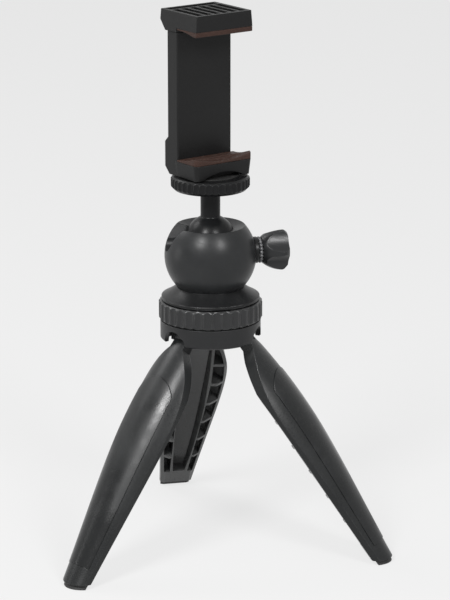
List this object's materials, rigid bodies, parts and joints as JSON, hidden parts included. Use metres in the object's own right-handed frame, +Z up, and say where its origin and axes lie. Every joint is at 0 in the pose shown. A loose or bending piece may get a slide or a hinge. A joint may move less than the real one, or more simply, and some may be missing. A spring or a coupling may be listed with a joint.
{
  "type": "mini tabletop tripod with ball head and phone clamp",
  "caption": "Mini tabletop tripod whose legs fold together into a grip, with a panning ball head, a side lock knob and a spring phone clamp on a camera screw.",
  "frame": {"origin": "on the ground, on the upright axis of the ball head, between the feet", "axes": "+Z up along the head's axis; +X from the axis towards the lock knob, with the ball head's notch on -X; +Y towards the first leg"},
  "size_m": [0.1566, 0.1383, 0.2567],
  "materials": {
    "shell_plastic": "satin, finely textured black",
    "gloss_plastic": "smooth semi-gloss black",
    "ball_coat": "polished black",
    "acetal": "smooth dark acetal",
    "leg_plastic": "satin black",
    "panel_plastic": "fine matt soft-touch texture",
    "clamp_plastic": "matt black",
    "pad_silicone": "dark reddish-brown silicone",
    "foot_rubber": "matt rubber",
    "steel": "turned steel",
    "dark_screw": "blackened steel",
    "spring_steel": "bright spring steel",
    "brass": "turned brass"
  },
  "bodies": {
    "base": {"base_housing": "shell_plastic", "base_cap": "shell_plastic", "wave_washer": "spring_steel", "pan_washer": "acetal", "leg_pin_1": "steel", "leg_pin_2": "steel", "leg_pin_3": "steel"},
    "pan_ring": {"pan_ring": "shell_plastic"},
    "head": {"head_collar": "gloss_plastic", "ball_housing": "gloss_plastic", "pan_bolt": "steel", "lock_insert": "brass", "knob_washer": "gloss_plastic"},
    "cup": {"ball_cup": "acetal"},
    "ball": {"ball_stem": "ball_coat", "stud": "steel"},
    "disc_slider": {"disc_pad": "foot_rubber"},
    "disc": {"lock_disc": "shell_plastic", "disc_insert": "brass"},
    "clamp": {"clamp_body": "clamp_plastic", "back_cover": "clamp_plastic", "cover_screws": "dark_screw", "jaw_insert": "brass", "rear_insert": "brass", "lower_pad": "pad_silicone", "clamp_springs": "spring_steel"},
    "jaw": {"upper_jaw": "clamp_plastic", "slide_plate": "clamp_plastic", "upper_pad": "pad_silicone", "jaw_pins": "steel"},
    "lock_slider": {"lock_pad": "acetal"},
    "knob": {"lock_screw": "steel", "bead_ring": "gloss_plastic", "knob": "gloss_plastic"},
    "leg_1": {"leg_frame_1": "leg_plastic", "leg_panel_1": "panel_plastic", "leg_foot_1": "foot_rubber"},
    "leg_2": {"leg_frame_2": "leg_plastic", "leg_panel_2": "panel_plastic", "leg_foot_2": "foot_rubber"},
    "leg_3": {"leg_frame_3": "leg_plastic", "leg_panel_3": "panel_plastic", "leg_foot_3": "foot_rubber"}
  },
  "joints": [
    {"name": "leg_fold_1", "type": "hinge", "parent": "base", "child": "leg_1", "pos_m": [0, 0.0155, 0.1055], "axis": [-1, 0, 0], "range_deg": [0, 37.2]},
    {"name": "leg_fold_2", "type": "hinge", "parent": "base", "child": "leg_2", "pos_m": [-0.01342, -0.00775, 0.1055], "axis": [0.5, -0.866, 0], "range_deg": [0, 37.2]},
    {"name": "leg_fold_3", "type": "hinge", "parent": "base", "child": "leg_3", "pos_m": [0.01342, -0.00775, 0.1055], "axis": [0.5, 0.866, 0], "range_deg": [0, 37.2]},
    {"name": "pan_ring_turn", "type": "hinge", "parent": "base", "child": "pan_ring", "pos_m": [0, 0, 0.1163], "axis": [0, 0, 1], "range_deg": [0, 60]},
    {"name": "head_pan", "type": "hinge", "parent": "base", "child": "head", "pos_m": [0, 0, 0.1234], "axis": [0, 0, 1], "continuous": true},
    {"name": "side_tilt", "type": "hinge", "parent": "head", "child": "cup", "pos_m": [0, 0, 0.1497], "axis": [1, 0, 0], "range_deg": [-28, 28]},
    {"name": "notch_tilt", "type": "hinge", "parent": "cup", "child": "ball", "pos_m": [0, 0, 0.1497], "axis": [0, -1, 0], "range_deg": [-25, 90]},
    {"name": "disc_feed", "type": "slide", "parent": "ball", "child": "disc_slider", "axis": [0, 0, -1], "range_m": [0, 0.0019]},
    {"name": "disc_turn", "type": "hinge", "parent": "disc_slider", "child": "disc", "pos_m": [0, 0, 0.1769], "axis": [0, 0, -1], "range_deg": [0, 539]},
    {"name": "clamp_swivel", "type": "hinge", "parent": "ball", "child": "clamp", "pos_m": [0, 0, 0.1806], "axis": [0, 0, 1], "continuous": true},
    {"name": "jaw_slide", "type": "slide", "parent": "clamp", "child": "jaw", "axis": [0, 0, 1], "range_m": [0, 0.028], "stiffness_N_per_m": 250, "springref_m": -0.02, "deforming": ["clamp_springs"]},
    {"name": "lock_feed", "type": "slide", "parent": "head", "child": "lock_slider", "axis": [1, 0, 0], "range_m": [0, 0.0012]},
    {"name": "knob_turn", "type": "hinge", "parent": "lock_slider", "child": "knob", "pos_m": [0.03, 0, 0.143], "axis": [1, 0, 0], "range_deg": [0, 540]}
  ],
  "couplings": [
    {"joint": "disc_turn", "follows": "disc_feed", "rad_per_m": 4947.4},
    {"joint": "knob_turn", "follows": "lock_feed", "rad_per_m": 7854}
  ]
}
